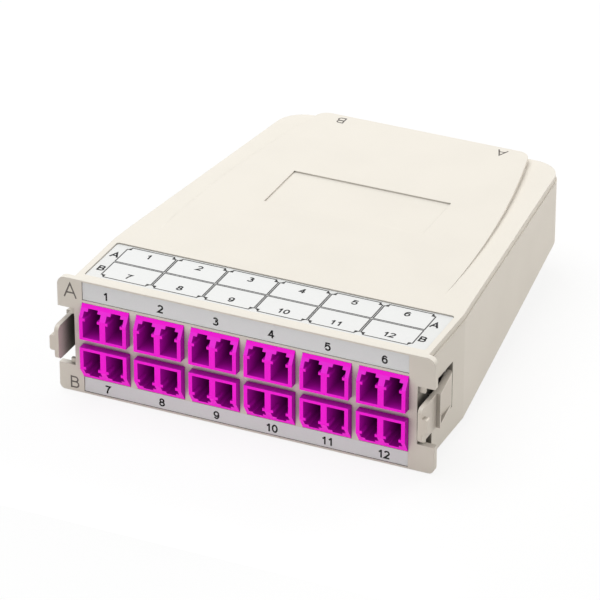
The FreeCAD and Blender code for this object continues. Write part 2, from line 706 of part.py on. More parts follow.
def right_latch_spring():
    """A bowed leaf that bears on the channel's inner wall, behind the lever."""
    z0 = (LEVER_BOTTOM + LEVER_TOP - SPRING_HEIGHT) / 2
    middle = (SPRING_FRONT + SPRING_REAR) / 2
    faces = (CHANNEL_INNER, CHANNEL_INNER + SPRING_THICKNESS)
    bows = [Part.Arc(V(x, SPRING_FRONT, z0), V(x + SPRING_BOW, middle, z0),
                     V(x, SPRING_REAR, z0)).toShape() for x in faces]
    ends = [Part.makeLine(V(faces[0], y, z0), V(faces[1], y, z0))
            for y in (SPRING_FRONT, SPRING_REAR)]
    wire = Part.Wire(Part.__sortEdges__([bows[0], ends[1], bows[1], ends[0]]))
    return Part.Face(wire).extrude(V(0, 0, SPRING_HEIGHT))


def mpo_block(x, width, height, y0, y1):
    """A block round a multi-fibre port's axis."""
    return box(x - width / 2, x + width / 2, y0, y1, MPO_Z - height / 2, MPO_Z + height / 2)


def mpo_adapter(x):
    """Multi-fibre adapter through the rear wall, key up, with its plug rooms on both sides."""
    inner_end, outer_end = MPO_INNER_END, BODY_REAR + MPO_OUT
    shape = mpo_block(x, MPO_WIDTH, MPO_HEIGHT, inner_end, outer_end)
    shape = round_edges(shape, MPO_CORNER, V(0, 1, 0), lambda p: True)
    collar_end = BODY_REAR - WALL
    shape = shape.fuse(mpo_block(x, MPO_WIDTH + 2 * MPO_COLLAR_OUT, MPO_HEIGHT + 2 * MPO_COLLAR_OUT,
                                 collar_end - MPO_COLLAR, collar_end))
    key_top = MPO_Z + MPO_PORT_HEIGHT / 2 + MPO_KEY_HEIGHT
    for y0, y1 in ((outer_end - MPO_PORT_DEPTH, outer_end + 1),
                   (inner_end - 1, inner_end + MPO_PORT_DEPTH)):
        port = mpo_block(x, MPO_PORT_WIDTH, MPO_PORT_HEIGHT, y0, y1)
        port = round_edges(port, MPO_PORT_CORNER, V(0, 1, 0), lambda p: True)
        keyway = box(x - MPO_KEY_WIDTH / 2, x + MPO_KEY_WIDTH / 2, y0, y1, MPO_Z, key_top)
        shape = shape.cut([port, keyway])
    ferrule_room = mpo_block(x, MPO_FERRULE_WIDTH + 2 * MPO_GAP, MPO_FERRULE_HEIGHT + 2 * MPO_GAP,
                             inner_end, outer_end)
    return shape.cut(ferrule_room).removeSplitter()


def mpo_plug(x):
    """The harness's multi-fibre plug on the inner side."""
    inner_end = MPO_INNER_END
    tip = inner_end + MPO_PORT_DEPTH - 2 * MPO_GAP
    body = mpo_block(x, MPO_PORT_WIDTH - 2 * MPO_GAP, MPO_PORT_HEIGHT - 2 * MPO_GAP,
                     inner_end - MPO_PLUG_TAIL / 2, tip)
    body = round_edges(body, MPO_PORT_CORNER - MPO_GAP, V(0, 1, 0), lambda p: True)
    ferrule = mpo_block(x, MPO_FERRULE_WIDTH, MPO_FERRULE_HEIGHT, tip - 1, tip + MPO_FERRULE_OUT)
    tail = mpo_block(x, MPO_TAIL_WIDTH, MPO_TAIL_HEIGHT, inner_end - MPO_PLUG_TAIL, inner_end)
    return body.fuse([ferrule, tail])


def rod(start, end, radius):
    span = end - start
    return Part.makeCylinder(radius, span.Length, start, span)


def fibre_harness():
    """Fibres from the LC plugs into a loop round the spools, and on to the multi-fibre plugs."""
    radius = SPOOL_RADIUS + LOOP_GAP
    bottom = floor_height(SPOOL_Y + SPOOL_RADIUS + LOOP_WIDTH) + FLOOR + LOOP_LIFT

    def track(r):
        ends = [Part.makeCylinder(r, LOOP_HEIGHT, V(x, SPOOL_Y, bottom))
                for x in (-SPOOL_X, SPOOL_X)]
        middle = box(-SPOOL_X, SPOOL_X, SPOOL_Y - r, SPOOL_Y + r, bottom, bottom + LOOP_HEIGHT)
        return ends[0].fuse([ends[1], middle])

    loop = track(radius + LOOP_WIDTH).cut(track(radius))
    front_y = SPOOL_Y - radius - LOOP_WIDTH / 2
    rear_y = SPOOL_Y + radius + LOOP_WIDTH / 2
    pieces = []
    tail_y = PLUG_REAR + BOOT_LENGTH + FIBRE_RADIUS + TAIL_GAP
    for x, low, turned in adapter_places():
        z = low + (ADAPTER_HEIGHT - PORT_AXIS_Z if turned else PORT_AXIS_Z)
        entry = bottom + (LOWER_ENTRY if turned else UPPER_ENTRY)
        for offset in PORT_OFFSETS:
            target = V((x + offset) / ROW_HALF * SPOOL_X, front_y, entry)
            pieces.append(rod(V(x + offset, tail_y, z), target, FIBRE_RADIUS))
    trunk_y = MPO_INNER_END - MPO_PLUG_TAIL - TRUNK_RADIUS - TAIL_GAP
    for side in (-1, 1):
        target = V(side * SPOOL_X, rear_y, bottom + TRUNK_ENTRY)
        pieces.append(rod(V(side * MPO_X, trunk_y, MPO_Z), target, TRUNK_RADIUS))
    return loop.fuse(pieces)


def screw(x, y):
    """Pan-head screw with a cross recess, its head down."""
    seat = head_seat(y)
    head = Part.makeCylinder(SCREW_HEAD_RADIUS, SCREW_HEAD_HEIGHT, V(x, y, seat - SCREW_HEAD_HEIGHT))
    shank = Part.makeCylinder(SCREW_RADIUS - THREAD_GAP, SCREW_LENGTH, V(x, y, seat))
    arm, slot = CROSS_REACH, CROSS_WIDTH / 2
    low, high = seat - SCREW_HEAD_HEIGHT - 1, seat - SCREW_HEAD_HEIGHT + CROSS_DEPTH
    cross = [box(x - arm, x + arm, y - slot, y + slot, low, high),
             box(x - slot, x + slot, y - arm, y + arm, low, high)]
    return head.fuse(shank).cut(cross)


def save(name, shape):
    shape.exportStep("parts/%s.step" % name)


def main():
    os.makedirs("parts", exist_ok=True)
    save("base_housing", base_housing())
    save("top_cover", top_cover())
    save("top_label", top_label())
    save("upper_marking_strip", marking_strip(UPPER_STRIP_BOTTOM, UPPER_STRIP_TOP))
    save("lower_marking_strip", marking_strip(LOWER_LIP, LOWER_STRIP_TOP))
    adapter = lc_adapter()
    for number, place in enumerate(adapter_places(), start=1):
        save("lc_adapter_%02d" % number, placed(adapter, *place))
    for row, turned in (("upper", False), ("lower", True)):
        save("%s_sleeves" % row, row_of(sleeve, turned))
        save("%s_inner_plugs" % row, row_of(lc_plug, turned))
    save("adapter_retainer", adapter_retainer())
    for piece, shape in (("latch", right_latch()), ("latch_spring", right_latch_spring()),
                         ("latch_pin", hinge_pin())):
        save("right_" + piece, shape)
        save("left_" + piece, mirrored(shape))
    for port, x in (("b", -MPO_X), ("a", MPO_X)):
        save("mpo_adapter_" + port, mpo_adapter(x))
        save("mpo_plug_" + port, mpo_plug(x))
    save("fibre_harness", fibre_harness())
    save("cover_screws", Part.makeCompound([screw(x, y) for x, y in screw_places()]))


main()
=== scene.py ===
"""Dresses the packed fibre cassette: moulded and printed finishes, markings, lamps and camera.

It is laid out as an add-on: each operator makes or finishes one group of pieces, and the panel in
the 3D view's sidebar lists them. Sizes in property groups are metres, in the cassette's own frame:
X along the front, Y into the depth, Z up, from the lower front edge of the bezel.
"""
import math

import bmesh
import bpy
from bpy.props import FloatProperty, FloatVectorProperty, IntProperty, PointerProperty
from mathutils import Euler, Matrix, Vector


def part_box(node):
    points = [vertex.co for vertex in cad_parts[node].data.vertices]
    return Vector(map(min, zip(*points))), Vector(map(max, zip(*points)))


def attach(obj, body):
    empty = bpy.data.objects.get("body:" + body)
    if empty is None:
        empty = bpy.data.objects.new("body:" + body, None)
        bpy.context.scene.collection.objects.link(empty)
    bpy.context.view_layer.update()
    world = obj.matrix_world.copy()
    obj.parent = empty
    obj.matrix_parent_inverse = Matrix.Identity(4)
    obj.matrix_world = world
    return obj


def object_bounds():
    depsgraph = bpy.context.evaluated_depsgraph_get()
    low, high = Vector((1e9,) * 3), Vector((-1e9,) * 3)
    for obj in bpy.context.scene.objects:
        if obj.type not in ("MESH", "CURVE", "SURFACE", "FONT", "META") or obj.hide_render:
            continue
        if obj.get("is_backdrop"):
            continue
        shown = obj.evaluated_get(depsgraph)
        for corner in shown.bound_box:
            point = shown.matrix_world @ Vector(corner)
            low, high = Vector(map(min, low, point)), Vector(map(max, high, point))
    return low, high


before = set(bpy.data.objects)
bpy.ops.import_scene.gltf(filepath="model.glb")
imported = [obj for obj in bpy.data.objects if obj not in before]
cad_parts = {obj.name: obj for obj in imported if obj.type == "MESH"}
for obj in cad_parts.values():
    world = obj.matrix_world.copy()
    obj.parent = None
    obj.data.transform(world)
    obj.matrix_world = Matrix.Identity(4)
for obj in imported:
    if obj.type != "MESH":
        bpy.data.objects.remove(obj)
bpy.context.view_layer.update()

bl_info = {
    "name": "Fibre Cassette Dresser",
    "version": (1, 0, 0),
    "blender": (4, 5, 0),
    "location": "View3D > Sidebar > Cassette",
    "description": "Finishes, markings and studio for a fibre cassette",
    "category": "Object",
}

MM = 0.001
BODY = "cassette"
# Height of print above the face that carries it
PRINT_LIFT = 0.012 * MM
ADAPTERS = sorted(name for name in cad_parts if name.startswith("lc_adapter"))
# Corners of the box round an adapter of each row
UPPER_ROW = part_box(ADAPTERS[0])
LOWER_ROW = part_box(ADAPTERS[-1])
# From the middle to the inner side of the right latch
LATCH_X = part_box("right_latch")[0].x


# ---------------------------------------------------------------- shader maths

# Rays for each point of the painted shade in gaps, and of the rounding along edges
GAP_SAMPLES = 12
EDGE_SAMPLES = 6


class Value:
    """An output socket inside a finish. Python arithmetic on it adds Math nodes."""

    def __init__(self, finish, socket):
        self.finish = finish
        self.socket = socket

    def _with(self, operation, first, second):
        return self.finish.node("ShaderNodeMath", {"operation": operation}, {0: first, 1: second})

    def __add__(self, other):
        return self._with("ADD", self, other)

    __radd__ = __add__

    def __mul__(self, other):
        return self._with("MULTIPLY", self, other)

    __rmul__ = __mul__

    def __sub__(self, other):
        return self._with("SUBTRACT", self, other)

    def __rsub__(self, other):
        return self._with("SUBTRACT", other, self)


class Finish:
    """A material whose tree ends in one Principled shader."""

    def __init__(self, name, roughness=0.5, metallic=0.0, specular=0.5):
        self.material = bpy.data.materials.new(name)
        self.material.use_nodes = True
        self.tree = self.material.node_tree
        self.shader = self.tree.nodes["Principled BSDF"]
        self.shader.inputs["Roughness"].default_value = roughness
        self.shader.inputs["Metallic"].default_value = metallic
        self.shader.inputs["Specular IOR Level"].default_value = specular

    def node(self, kind, settings=None, inputs=None, output=0):
        """Adds a node: its settings first, then the values or links of its sockets."""
        made = self.tree.nodes.new(kind)
        for key, value in (settings or {}).items():
            if key == "stops":
                self._set_stops(made.color_ramp, value)
            else:
                setattr(made, key, value)
        for key, value in (inputs or {}).items():
            if isinstance(value, Value):
                self.tree.links.new(value.socket, made.inputs[key])
            else:
                made.inputs[key].default_value = value
        return Value(self, made.outputs[output])

    @staticmethod
    def _set_stops(ramp, stops):
        while len(ramp.elements) < len(stops):
            ramp.elements.new(0.5)
        for element, (place, level) in zip(ramp.elements, stops):
            element.position = place
            element.color = (level, level, level, 1.0)

    def feed(self, name, value):
        """Links a value to one of the shader's own sockets."""
        self.tree.links.new(value.socket, self.shader.inputs[name])

    def place(self):
        """The point on the surface, in metres, in the frame of the body that carries it."""
        return self.node("ShaderNodeTexCoord", output="Object")

    def axis(self, name):
        return self.node("ShaderNodeSeparateXYZ", inputs={0: self.place()}, output=name)

    def noise(self, scale, detail=2.0, roughness=0.5):
        sizes = {"Vector": self.place(), "Scale": scale, "Detail": detail, "Roughness": roughness}
        return self.node("ShaderNodeTexNoise", inputs=sizes)

    def band(self, value, start, end):
        """0 before start and 1 after end, with a smooth step between."""
        settings = {"interpolation_type": "SMOOTHSTEP"}
        return self.node("ShaderNodeMapRange", settings, {0: value, 1: start, 2: end})

    def blend(self, factor, first, second):
        """Mixes two colours: the first where the factor is 0, the second where it is 1."""
        sockets = {0: factor, 6: first, 7: second}
        return self.node("ShaderNodeMix", {"data_type": "RGBA"}, sockets, output=2)

    def mottled(self, colour, share, pattern, start=0.3, end=0.7):
        """A colour that falls to a share of itself where a pattern is high."""
        high = self.band(pattern, start, end)
        return self.blend(high, opaque(colour), opaque(darker(colour, share)))

    @staticmethod
    def uneven(level, pattern, swing):
        """A level that swings up and down with a pattern."""
        return level + swing * (pattern - 0.5)

    def openness(self, reach, own=False):
        """1 on open faces, falling to 0 in gaps that are small beside the reach.

        With own, only the piece's own faces count.
        """
        settings = {"samples": GAP_SAMPLES, "only_local": own}
        return self.node("ShaderNodeAmbientOcclusion", settings, {"Distance": reach}, output="AO")

    def facing(self, name):
        """One part of the surface direction, in the frame of the body that carries it."""
        direction = self.node("ShaderNodeTexCoord", output="Normal")
        return self.node("ShaderNodeSeparateXYZ", inputs={0: direction}, output=name)

    def bump(self, height, distance, strength=1.0, edge=None):
        sockets = {"Strength": strength, "Distance": distance, "Height": height}
        if edge is not None:
            sockets["Normal"] = edge
        self.feed("Normal", self.node("ShaderNodeBump", inputs=sockets))

    def soft_edges(self, radius):
        """Surface direction with the mould's small edge rounding."""
        return self.node("ShaderNodeBevel", {"samples": EDGE_SAMPLES}, {"Radius": radius})


def opaque(colour):
    return (*colour, 1.0)


def darker(colour, share):
    return tuple(level * share for level in colour)


def wear(names, finish):
    """Gives one finish to CAD nodes."""
    for name in names:
        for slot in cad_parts[name].material_slots:
            slot.material = finish.material


# ---------------------------------------------------------------- sizes and colours

def colour_property(name, description, default):
    return FloatVectorProperty(name=name, description=description, default=default, size=3,
                               min=0.0, max=1.0, subtype="COLOR")


def length_property(name, description, millimetres):
    return FloatProperty(name=name, description=description, default=millimetres * MM,
                         unit="LENGTH", precision=5)


class CassetteColours(bpy.types.PropertyGroup):
    """Colours of the cassette's materials."""

    ivory: colour_property("Ivory", "Housing and cover", (0.80, 0.755, 0.685))
    # Painted shade: the housing's ivory made a little darker for the latches
    latch: colour_property("Latch ivory", "Side latches", (0.74, 0.68, 0.61))
    magenta: colour_property("Magenta", "Adapter shells", (0.84, 0.011, 0.63))
    # Colour of the painted glow on the adapters' sloped fronts
    slope: colour_property("Slope", "Sloped front of the adapters", (0.62, 0.06, 0.66))
    # Painted shade: the adapters' sides and sockets, darker than the shells' magenta
    purple: colour_property("Purple", "Sides and sockets of the adapters", (0.46, 0.004, 0.41))
    strip_grey: colour_property("Strip grey", "Film in the bezel's pockets", (0.84, 0.87, 0.89))
    card_grey: colour_property("Card grey", "Label card on the cover", (0.775, 0.775, 0.77))
    card_white: colour_property("Card white", "Cells printed on the card", (0.80, 0.80, 0.80))
    ink: colour_property("Ink", "Printed numbers", (0.008, 0.008, 0.009))
    table_ink: colour_property("Table ink", "Lines of the label table", (0.07, 0.068, 0.068))
    # Painted shade: the engraved letters are flat strips of this colour, for the shade in their
    # grooves
    painted_groove_shade: colour_property("Groove", "Shaded bottom of engraved letters", (0.19, 0.17, 0.155))
    dark: colour_property("Dark plastic", "Rear adapters and retainer", (0.02, 0.02, 0.022))
    ceramic: colour_property("Ceramic", "Alignment sleeves", (0.86, 0.85, 0.80))
    plug: colour_property("Plug plastic", "Inner plugs", (0.70, 0.69, 0.66))
    jacket: colour_property("Jacket", "Fibre jackets", (0.03, 0.45, 0.47))
    steel: colour_property("Steel", "Screws, pins and springs", (0.58, 0.57, 0.56))
    floor: colour_property("Floor", "The floor's own light on the cassette", (0.62, 0.61, 0.59))
    paper: colour_property("Paper", "The floor as the camera sees it", (0.95, 0.95, 0.95))
    surround: colour_property("Surround", "Even light from all sides", (1.0, 0.965, 0.93))


class CassetteFinish(bpy.types.PropertyGroup):
    """Surface texture of the mouldings, and the painted shade and painted glow on them."""

    grain: length_property("Grain", "Size of the spark-eroded grain", 0.22)
    grain_depth: length_property("Grain depth", "Depth of the grain", 0.0035)
    edge: length_property("Edge rounding", "Radius along the mouldings' edges", 0.12)
    # Reaches of the painted shade in the pieces' own hollows and in gaps to other pieces
    hollow_reach: length_property("Hollow reach", "Size of the hollows that darken", 9.0)
    gap_reach: length_property("Gap reach", "Size of the gaps to other pieces that darken", 8.0)
    # Painted light: a dim glow on the adapters' sides, which give off no light
    side_glow: FloatProperty(name="Side glow", description="Glow of the adapters' sides",
                             default=0.5, min=0.0, max=1.0)
    # Brightness of the painted shade deep in a gap
    painted_shade_level: FloatProperty(name="Hollow level", description="Brightness deep in a gap",
                                default=0.12, min=0.0, max=1.0)
    # Painted light: the glow that brightens the adapters' fronts, which give off no light of their own
    glow: FloatProperty(name="Glow", description="Brightening by the fluorescent pigment",
                        default=0.33, min=0.0, max=1.0)
    # The slope's painted glow stops at the lip, where the front's painted glow goes on
    lip: length_property("Lip", "From an adapter's edge to where its slope turns lighter", 1.6)


class CassetteMarkings(bpy.types.PropertyGroup):
    """Sizes and places of the printed and engraved markings."""

    port_pitch: length_property("Port pitch", "Distance between adapters", 14.9)
    ports: IntProperty(name="Ports", description="Adapters in one row", default=6, min=1, max=12)
    digit_height: length_property("Digit height", "Height of the printed numbers", 2.2)
    upper_row: length_property("Upper row height", "Height of numbers 1 to 6", 28.55)
    lower_row: length_property("Lower row height", "Height of numbers 7 to 12", 2.28)
    cell_pitch: length_property("Cell pitch", "Width of a table cell with its gap", 13.97)
    cell_gap: length_property("Cell gap", "Gap between two cells in a row", 0.46)
    row_gap: length_property("Row gap", "Gap between the table's two rows", 0.5)
    row_middle: length_property("Row middle", "Depth of the gap between the rows", 14.6)
    shoulder: length_property("Shoulder", "From the row gap's middle to a cell's shoulder", 7.15)
    step_out: length_property("Step out", "How far a cell's edge stands past its shoulder", 1.04)
    step_in: length_property("Step in", "Width of a cell's stepped corner", 0.95)
    line: length_property("Line", "Width of the printed lines", 0.34)
    number_offset: length_property("Number offset", "From the row gap's middle to a number", 5.6)
    table_middle: length_property("Table middle", "The table's middle across the card", -0.35)
    row_letter_x: length_property("Row letter place", "From the table's middle to A and B", 43.15)
    row_letter_offset: length_property("Row letter offset", "From the letters' middle to one", 3.8)
    row_letter_drop: length_property("Row letter drop", "Letters' middle before the row gap", 0.5)
    row_letter_height: length_property("Row letter height", "Height of A and B on the card", 2.5)
    groove_width: length_property("Groove width", "Stroke of the engraved letters", 0.4)
    rear_letter_x: length_property("Rear letter place", "From the middle to B and A", 22.8)
    rear_letter_y: length_property("Rear letter depth", "Depth of B and A on the cover", 109.1)
    rear_letter_height: length_property("Rear letter height", "Height of B and A", 3.2)


class CassetteStudio(bpy.types.PropertyGroup):
    """Camera and lamps."""

    azimuth: FloatProperty(name="Azimuth", description="Camera's turn to the right of the front",
                           default=math.radians(24.606), subtype="ANGLE")
    elevation: FloatProperty(name="Elevation", description="Camera's height angle",
                             default=math.radians(28.834), subtype="ANGLE")
    distance: length_property("Distance", "From the camera to its target", 1038.0)
    target: FloatVectorProperty(name="Target", description="Point in the middle of the view",
                                default=(1.434 * MM, 30.0 * MM, 21.648 * MM), subtype="TRANSLATION")
    lens: FloatProperty(name="Lens", description="Focal length in millimetres", default=251.32)
    key: FloatProperty(name="Key", description="Power of the overhead lamp", default=6.7,
                       unit="POWER")
    side: FloatProperty(name="Side", description="Power of the lamp behind at the right",
                        default=5.3, unit="POWER")
    front: FloatProperty(name="Front", description="Power of the low lamp close to the front",
                         default=0.0095, precision=4, unit="POWER")
    surround: FloatProperty(name="Surround", description="Strength of the even light", default=0.4)
    white_share: FloatProperty(name="White share", description="How far the seen floor is plain white",
                               default=0.85, min=0.0, max=1.0)


# ---------------------------------------------------------------- mesh helpers

# Least cosine of half a corner's turn: it keeps the mitre of a sharp corner short
MITRE_LIMIT = 0.3


def add_piece(name, mesh, finish):
    """Links a mesh as a piece that rides on the cassette."""
    piece = bpy.data.objects.new(name, mesh)
    bpy.context.scene.collection.objects.link(piece)
    mesh.materials.append(finish.material)
    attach(piece, BODY)


def mesh_of(shape, name):
    """Turns a bmesh into a mesh, and frees it."""
    mesh = bpy.data.meshes.new(name)
    shape.to_mesh(mesh)
    shape.free()
    return mesh


def ribbon(shape, path, width, closed=True):
    """Adds a flat line of even width along a path in the XY plane, with mitred corners."""
    count = len(path)
    sides = []
    for index, point in enumerate(path):
        before = path[index - 1] if closed or index else None
        after = path[(index + 1) % count] if closed or index < count - 1 else None
        ways = []
        if before is not None:
            ways.append((point - before).normalized())
        if after is not None:
            ways.append((after - point).normalized())
        normals = [Vector((-way.y, way.x)) for way in ways]
        mean = sum(normals, Vector((0.0, 0.0))).normalized()
        reach = width / 2 / max(mean.dot(normals[0]), MITRE_LIMIT)
        edges = [point + side * reach * mean for side in (1, -1)]
        sides.append([shape.verts.new((*edge, 0.0)) for edge in edges])
    for index in range(count if closed else count - 1):
        (a, b), (d, c) = sides[index], sides[(index + 1) % count]
        shape.faces.new((a, b, c, d))


def filled_mesh(name, outlines):
    """A mesh with one flat face inside each outline."""
    shape = bmesh.new()
    for outline in outlines:
        shape.faces.new([shape.verts.new((x, y, 0.0)) for x, y in outline])
    bmesh.ops.triangulate(shape, faces=shape.faces)
    return mesh_of(shape, name)


def arc(middle, radii, start, end, steps=14):
    """Points of an ellipse's arc, from a start angle to an end angle in degrees."""
    points = []
    for step in range(steps + 1):
        angle = math.radians(start + (end - start) * step / steps)
        x = middle[0] + radii[0] * math.cos(angle)
        y = middle[1] + radii[1] * math.sin(angle)
        points.append((x, y))
    return points


def half_turned(strokes):
    """Strokes turned by half a turn, which makes a nine of a six."""
    return [[(-x, -y) for x, y in stroke] for stroke in strokes]


# Shares of a character's height: its printed stroke, the thinner stroke that its outer strokes
# leave room for, and the step to the next character
BOLD = 0.2
STROKE = 0.16
ADVANCE = 0.76
# Height of the middle line of a stroke along a character's upper edge
TOP = 0.5 - STROKE / 2
SIX = [
    arc((0.02, 0.0), (0.275, TOP), 38, 196),
    arc((0.01, -0.145), (0.265, TOP - 0.145), -180, 180),
]
# Middle lines of each character's strokes, from -0.5 to 0.5 in height
GLYPHS = {
    "0": [arc((0.0, 0.0), (0.27, TOP), -180, 180, 28)],
    "1": [[(-0.2, 0.2), (-0.02, 0.31), (0.08, 0.44)], [(0.08, 0.5), (0.08, -0.5)]],
    "2": [arc((0.0, 0.185), (0.265, TOP - 0.185), 165, -32) + [(-0.28, -TOP), (0.31, -TOP)]],
    "3": [
        arc((-0.01, 0.225), (0.235, TOP - 0.225), 155, -90)
        + arc((-0.01, -0.195), (0.28, TOP - 0.195), 90, -158),
    ],
    "4": [[(0.1, 0.44), (-0.29, -0.19), (0.34, -0.19)], [(0.12, 0.5), (0.12, -0.5)]],
    "5": [
        [(0.29, TOP), (-0.18, TOP), (-0.24, 0.03)]
        + arc((0.0, -0.13), (0.275, TOP - 0.13), 132, -155),
    ],
    "6": SIX,
    "7": [[(-0.3, TOP), (0.27, TOP), (0.08, 0.15), (-0.05, -0.17), (-0.1, -0.5)]],
    "8": [
        arc((0.0, 0.225), (0.22, TOP - 0.225), -180, 180),
        arc((0.0, -0.2), (0.275, TOP - 0.2), -180, 180),
    ],
    "9": half_turned(SIX),
    "A": [[(-0.4, -0.5), (0.0, 0.46), (0.4, -0.5)], [(-0.27, -0.16), (0.27, -0.16)]],
    "B": [
        [(-0.27, 0.5), (-0.27, -0.5)],
        [(-0.27, TOP)] + arc((0.05, TOP / 2 + 0.012), (0.2, TOP / 2 - 0.012), 90, -90)
        + [(-0.27, 0.024)],
        [(-0.27, 0.024)] + arc((0.08, 0.012 - TOP / 2), (0.22, TOP / 2 + 0.012), 90, -90)
        + [(-0.27, -TOP)],
    ],
}


def outlined_mesh(name, outlines, width):
    """A mesh with a flat line along each outline."""
    shape = bmesh.new()
    for outline in outlines:
        ribbon(shape, [Vector(point) for point in outline], width)
    return mesh_of(shape, name)


def text_mesh(name, text, height, stroke_share=BOLD):
    """Digits or letters as a flat mesh, centred on the origin."""
    shape = bmesh.new()
    for index, character in enumerate(text):
        middle = (index - (len(text) - 1) / 2) * ADVANCE
        for stroke in GLYPHS[character]:
            path = [Vector((middle + x, y)) * height for x, y in stroke]
            ribbon(shape, path, stroke_share * height, closed=False)
    return mesh_of(shape, name)


def joined(name, parts):
    """One mesh from several meshes, each with its own placing matrix."""
    shape = bmesh.new()
    for mesh, matrix in parts:
        mesh.transform(matrix)
        shape.from_mesh(mesh)
        bpy.data.meshes.remove(mesh)
    return mesh_of(shape, name)


def on_front(x, y, z):
    """Places a flat mesh upright, to be read from the front."""
    return Matrix.Translation((x, y, z)) @ Matrix.Rotation(math.radians(90), 4, "X")


def on_top(x, y, z, turned=False):
    """Lays a flat mesh on the cover, to be read from the front or, turned, from the rear."""
    turn = Matrix.Rotation(math.pi if turned else 0.0, 4, "Z")
    return Matrix.Translation((x, y, z)) @ turn


# ---------------------------------------------------------------- finishes

# Openness at which a face is all in painted shade, and at which it has its full colour: on most
# pieces, and on the housing in its gaps to other pieces and in its own hollows
SHADED = 0.05
LIT = 0.95
GAP_LIT = 0.7
HOLLOW_LIT = 0.6
# Openness that a latch's outer side gains, which keeps it lighter than the painted shade on the side
# facing the housing, and how far outward a face is where that starts and where it is whole
OUTER_LIFT = 0.35
OUTWARD = (0.3, 0.8)
# How far forward or upward an adapter's face is where it starts to count as its front or its
# slope, and where it wholly does: the front gets the painted glow, and the slope a painted glow of its
# own colour
FRONTWARD = (0.55, 0.75)
UPWARD = (0.3, 0.5)
# Depths between which an adapter's colour turns from its sides' painted shade to its front's
ADAPTER_FRONT = (0.3 * MM, -0.1 * MM)
# Depths between which the painted shade on an adapter's sides and sockets darkens, and the shares
# of their colour and of their painted glow's colour that are left there
SOCKET = (-3.0 * MM, 9.0 * MM)
SOCKET_SHADE = 0.15
SOCKET_GLOW = 0.05
# Half the height over which the slope's painted glow turns into the lip's
LIP_SOFTNESS = 0.1 * MM


def plain_light(finish):
    """1 on open faces, lower in gaps and hollows: how much of a face's colour the painted shade
    leaves.
    """
    look = bpy.context.scene.cassette_finish
    return finish.band(finish.openness(look.hollow_reach), SHADED, LIT)


def housing_light(finish):
    """Painted shade: darkens gaps to other pieces and the housing's own hollows, each by its own
    reach.
    """
    look = bpy.context.scene.cassette_finish
    gaps = finish.band(finish.openness(look.gap_reach), SHADED, GAP_LIT)
    hollows = finish.band(finish.openness(look.hollow_reach, own=True), SHADED, HOLLOW_LIT)
    return gaps * hollows


def latch_light(finish):
    """Painted shade: darkens the side of a lever that faces the housing more than its outer side."""
    look = bpy.context.scene.cassette_finish
    outward = finish.facing("X") * finish.axis("X") * (1 / LATCH_X)
    light = finish.openness(look.hollow_reach) + OUTER_LIFT * finish.band(outward, *OUTWARD)
    return finish.band(light, SHADED, LIT)


def moulded(name, colour, roughness, shade=0.94, specular=0.5, light=plain_light):
    """Satin moulded plastic: spark-eroded grain, slight flow clouds, and painted shade that darkens
    gaps and hollows.
    """
    look = bpy.context.scene.cassette_finish
    finish = Finish(name, specular=specular)
    clouds = finish.noise(60.0, 3.0)
    face = finish.mottled(colour, shade, clouds, end=0.75)
    # Painted shade: in gaps and hollows the colour falls towards this darker share of itself
    painted_hollow_shade = opaque(darker(colour, look.painted_shade_level))
    finish.feed("Base Color", finish.blend(light(finish), painted_hollow_shade, face))
    grain = finish.noise(1.0 / look.grain, 4.0, 0.6)
    gloss = finish.uneven(roughness, clouds, 0.08)
    finish.feed("Roughness", finish.uneven(gloss, grain, 0.06))
    finish.bump(grain, look.grain_depth, 0.6, finish.soft_edges(look.edge))
    return finish


def adapter_lip(finish, width):
    """1 on the outermost edge of both rows of adapters, 0 elsewhere."""
    height = finish.axis("Z")
    top = UPPER_ROW[1].z - width
    bottom = LOWER_ROW[0].z + width
    above = finish.band(height, top - LIP_SOFTNESS, top + LIP_SOFTNESS)
    below = finish.band(height, bottom + LIP_SOFTNESS, bottom - LIP_SOFTNESS)
    return above + below


def magenta_plastic(name):
    """Adapter plastic with painted light and shade: its front glows, its sides and sockets stay deep
    purple as painted shade.
    """
    colours = bpy.context.scene.cassette_colours
    look = bpy.context.scene.cassette_finish
    finish = Finish(name, specular=0.1)
    clouds = finish.noise(120.0, 2.0)
    grain = finish.noise(1.3 / look.grain, 3.0)
    # Painted shade: only the front faces keep the bright magenta; the sides take a darker colour that
    # darkens further deeper into the sockets
    outer = finish.band(finish.axis("Y"), *ADAPTER_FRONT)
    front = outer * finish.band(-1.0 * finish.facing("Y"), *FRONTWARD)
    bright = finish.mottled(colours.magenta, 0.95, clouds)
    depth = finish.band(finish.axis("Y"), *SOCKET)
    deep = opaque(darker(colours.purple, SOCKET_SHADE))
    side = finish.blend(depth, opaque(colours.purple), deep)
    finish.feed("Base Color", finish.blend(front, side, bright))
    # Painted light: a glow on the front faces, with its own colour on the slope above the lip, and a
    # dimmer glow on the sides that fades into the sockets
    near_glow = opaque(darker(colours.purple, look.side_glow))
    far_glow = opaque(darker(colours.purple, SOCKET_GLOW))
    side_glow = finish.blend(depth, near_glow, far_glow)
    slope = finish.band(finish.facing("Z"), *UPWARD) * (1 - adapter_lip(finish, look.lip))
    front_glow = finish.blend(slope, opaque(colours.magenta), opaque(colours.slope))
    finish.feed("Emission Color", finish.blend(front, side_glow, front_glow))
    finish.shader.inputs["Emission Strength"].default_value = look.glow
    finish.feed("Roughness", finish.uneven(0.45, grain, 0.1))
    finish.bump(grain, look.grain_depth * 0.6, 0.5, finish.soft_edges(look.edge * 0.5))
    return finish


def film(name, colour, roughness):
    """Thin printed film with a faint paper fibre."""
    finish = Finish(name)
    fibre = finish.noise(2500.0, 4.0, 0.7)
    finish.feed("Base Color", finish.mottled(colour, 0.975, fibre, 0.25, 0.8))
    finish.feed("Roughness", finish.uneven(roughness, fibre, 0.1))
    finish.bump(fibre, 0.002 * MM, 0.4)
    return finish


